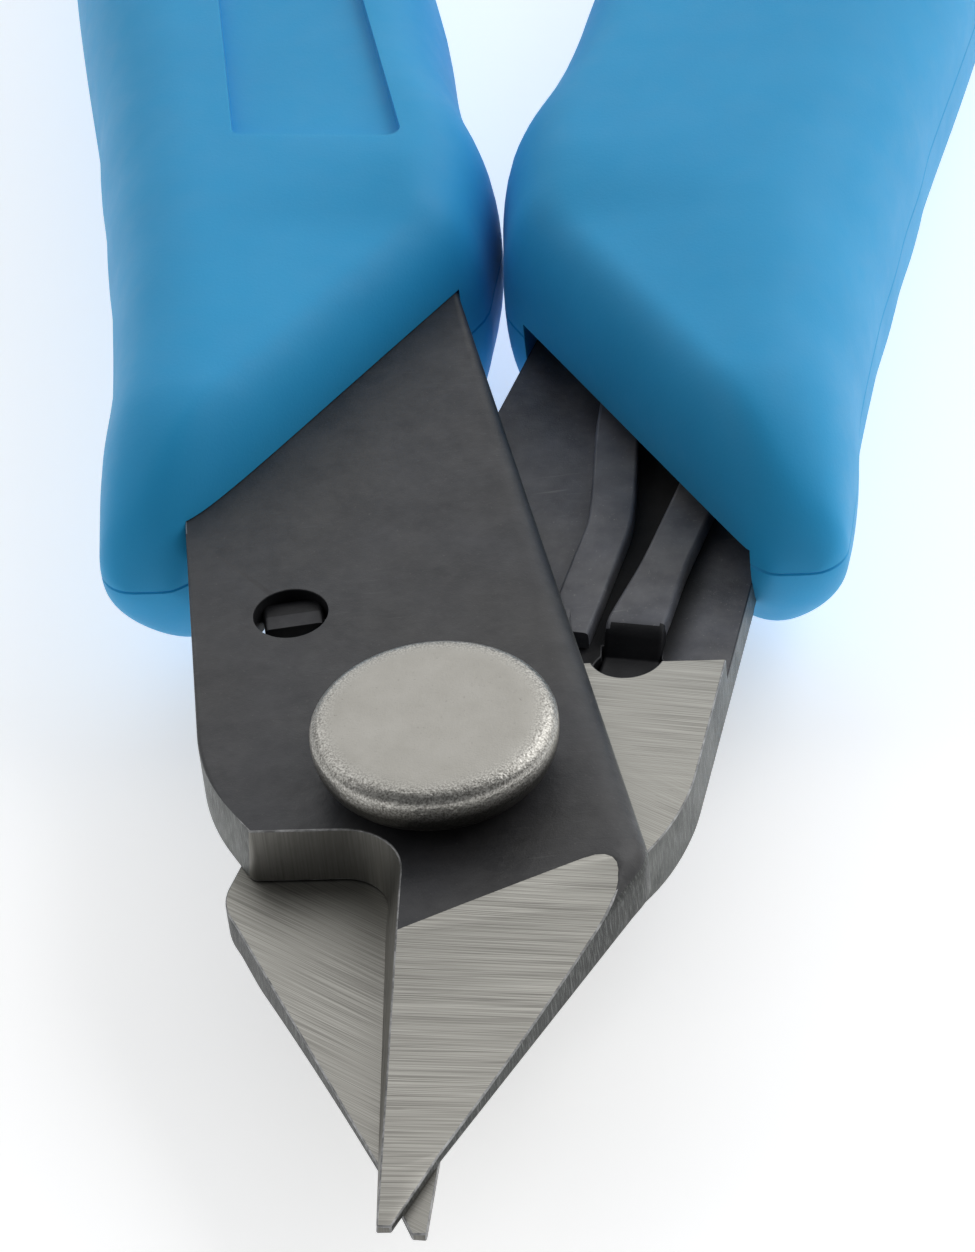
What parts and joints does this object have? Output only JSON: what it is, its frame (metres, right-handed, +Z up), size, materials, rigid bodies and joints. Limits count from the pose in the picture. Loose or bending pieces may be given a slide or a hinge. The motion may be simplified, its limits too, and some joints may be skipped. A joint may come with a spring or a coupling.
{
  "type": "flush cutter",
  "caption": "Hand-held flush cutter with two riveted bypass blades, hollow-ground pointed jaws, hairpin return springs and moulded sleeve grips.",
  "frame": {"origin": "middle of the footprint, on the surface that the closed tool lies on", "axes": "+Z up, parallel to the pivot's axis; +Y along the tool, from the jaw tips towards the handle ends; +X to the right seen from above with the jaws towards the viewer"},
  "size_m": [0.046, 0.127, 0.012],
  "materials": {
    "oxide_steel": "black oxide over hardened steel, with bright hollow-ground jaws",
    "spring_steel": "blackened flat spring steel",
    "rivet_steel": "tumbled satin steel",
    "grip_rubber": "matte blue moulded rubber"
  },
  "bodies": {
    "rear_half": {"rear_arm": "oxide_steel", "pivot_rivet": "rivet_steel", "rear_spring_anchored_leg": "spring_steel", "rear_grip": "grip_rubber"},
    "front_half": {"front_arm": "oxide_steel", "front_spring_anchored_leg": "spring_steel", "front_grip": "grip_rubber"},
    "rear_free_leg": {"rear_spring_moving_leg": "spring_steel"},
    "front_free_leg": {"front_spring_moving_leg": "spring_steel"}
  },
  "joints": [
    {"name": "pivot", "type": "hinge", "parent": "rear_half", "child": "front_half", "pos_m": [0, -0.0453, 0.006], "axis": [0, 0, 1], "range_deg": [0, 18], "stiffness_Nm_per_rad": 0.5, "springref_deg": 25.78},
    {"name": "rear_spring_flex", "type": "hinge", "parent": "rear_half", "child": "rear_free_leg", "pos_m": [0.0094, -0.0048, 0.006], "axis": [0, 0, 1], "range_deg": [-4.9, 0]},
    {"name": "front_spring_flex", "type": "hinge", "parent": "front_half", "child": "front_free_leg", "pos_m": [-0.0094, -0.0048, 0.006], "axis": [0, 0, 1], "range_deg": [0, 4.9]}
  ],
  "couplings": [
    {"joint": "rear_spring_flex", "follows": "pivot", "ratio": -0.26},
    {"joint": "front_spring_flex", "follows": "pivot", "ratio": 0.26}
  ]
}
